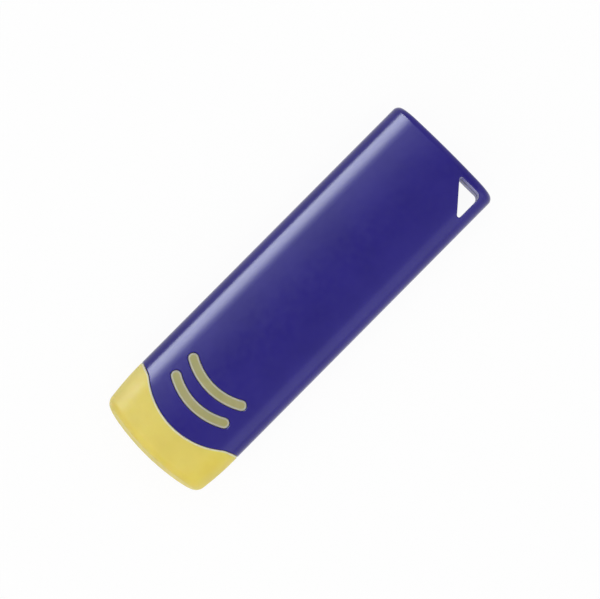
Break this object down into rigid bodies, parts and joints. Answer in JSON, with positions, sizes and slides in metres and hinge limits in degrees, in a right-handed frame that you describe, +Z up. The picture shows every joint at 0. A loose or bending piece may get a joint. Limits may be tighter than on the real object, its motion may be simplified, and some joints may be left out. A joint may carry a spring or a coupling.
{
  "type": "block eraser",
  "caption": "Flat pocket block eraser: translucent yellow elastomer tip in a hard blue shell holder, with curved grip arcs behind the tip and a triangular strap hole in a butt corner.",
  "frame": {"origin": "middle of the footprint, on the surface that the eraser lies on", "axes": "+X from the rubbing tip to the butt, +Y across to the long side away from the strap hole, +Z up through the thickness, out of the front face"},
  "size_m": [0.0668, 0.021, 0.0084],
  "materials": {
    "shell_plastic": "satin moulded, fine grain, blue violet",
    "elastomer": "translucent yellow elastomer, satin"
  },
  "bodies": {
    "root": {"front_shell": "shell_plastic", "back_shell": "shell_plastic", "eraser_insert": "elastomer"}
  },
  "joints": []
}
